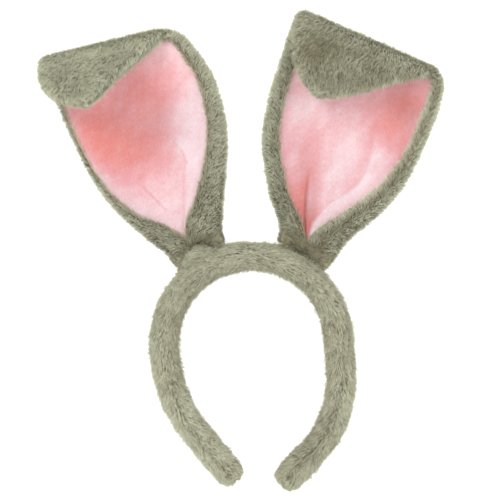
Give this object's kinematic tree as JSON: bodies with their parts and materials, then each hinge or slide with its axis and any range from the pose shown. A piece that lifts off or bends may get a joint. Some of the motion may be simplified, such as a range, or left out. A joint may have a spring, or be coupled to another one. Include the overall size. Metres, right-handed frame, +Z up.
{
  "type": "animal ears headband",
  "caption": "Plush fur headband hoop with tall rabbit ears lined in pink velvet; each ear tip is folded forward on a wire.",
  "frame": {"origin": "centre of the crown's round inner face, where the head goes", "axes": "+Z up towards the ears, +X to the right seen from the front, +Y to the back"},
  "size_m": [0.2719, 0.0411, 0.3223],
  "materials": {
    "strip_plastic": "satin",
    "strip_cap_vinyl": "matte",
    "foam": "matte",
    "band_fur": "short plush pile",
    "ear_fur": "short plush pile",
    "sewing_thread": "matte",
    "felt": "matte",
    "stiffener_fabric": "matte",
    "pink_velvet": "short velvet pile",
    "wire_steel": "satin",
    "pink_piping": "matte"
  },
  "bodies": {
    "crown": {"core_crown": "strip_plastic", "padding_crown": "foam", "sleeve_crown": "band_fur", "seam_crown": "sewing_thread", "left_ear_seat": "felt", "right_ear_seat": "felt", "left_anchor_stitches": "sewing_thread", "right_anchor_stitches": "sewing_thread"},
    "left_arm": {"core_left_arm": "strip_plastic", "padding_left_arm": "foam", "sleeve_left_arm": "band_fur", "seam_left_arm": "sewing_thread", "left_strip_cap": "strip_cap_vinyl"},
    "right_arm": {"core_right_arm": "strip_plastic", "padding_right_arm": "foam", "sleeve_right_arm": "band_fur", "seam_right_arm": "sewing_thread", "right_strip_cap": "strip_cap_vinyl"},
    "left_ear": {"left_ear_root": "ear_fur", "left_ear_back": "ear_fur", "left_ear_stiffener": "stiffener_fabric", "left_ear_lining": "pink_velvet", "left_ear_wire": "wire_steel", "left_ear_piping": "pink_piping"},
    "right_ear": {"right_ear_root": "ear_fur", "right_ear_back": "ear_fur", "right_ear_stiffener": "stiffener_fabric", "right_ear_lining": "pink_velvet", "right_ear_wire": "wire_steel", "right_ear_piping": "pink_piping"},
    "left_tip": {"left_tip_back": "ear_fur", "left_tip_stiffener": "stiffener_fabric", "left_tip_lining": "pink_velvet", "left_tip_wire": "wire_steel", "left_tip_piping": "pink_piping"},
    "right_tip": {"right_tip_back": "ear_fur", "right_tip_stiffener": "stiffener_fabric", "right_tip_lining": "pink_velvet", "right_tip_wire": "wire_steel", "right_tip_piping": "pink_piping"}
  },
  "joints": [
    {"name": "left_arm_spread", "type": "hinge", "parent": "crown", "child": "left_arm", "pos_m": [-0.05564, 0, 0.01808], "axis": [0, 1, 0], "range_deg": [-3, 15], "stiffness_Nm_per_rad": 0.8},
    {"name": "right_arm_spread", "type": "hinge", "parent": "crown", "child": "right_arm", "pos_m": [0.05564, 0, 0.01808], "axis": [0, -1, 0], "range_deg": [-3, 15], "stiffness_Nm_per_rad": 0.8},
    {"name": "left_ear_tilt", "type": "hinge", "parent": "crown", "child": "left_ear", "pos_m": [-0.03715, 0.002, 0.06435], "axis": [0.866, 0, 0.5], "range_deg": [-35, 35]},
    {"name": "right_ear_tilt", "type": "hinge", "parent": "crown", "child": "right_ear", "pos_m": [0.03715, 0.002, 0.06435], "axis": [0.866, 0, -0.5], "range_deg": [-35, 35]},
    {"name": "left_tip_unfold", "type": "hinge", "parent": "left_ear", "child": "left_tip", "pos_m": [-0.1, -0.0035, 0.202], "axis": [-0.9728, 0, -0.2316], "range_deg": [0, 150]},
    {"name": "right_tip_unfold", "type": "hinge", "parent": "right_ear", "child": "right_tip", "pos_m": [0.0795, -0.0035, 0.2045], "axis": [-0.9166, 0, 0.3998], "range_deg": [0, 160]}
  ]
}
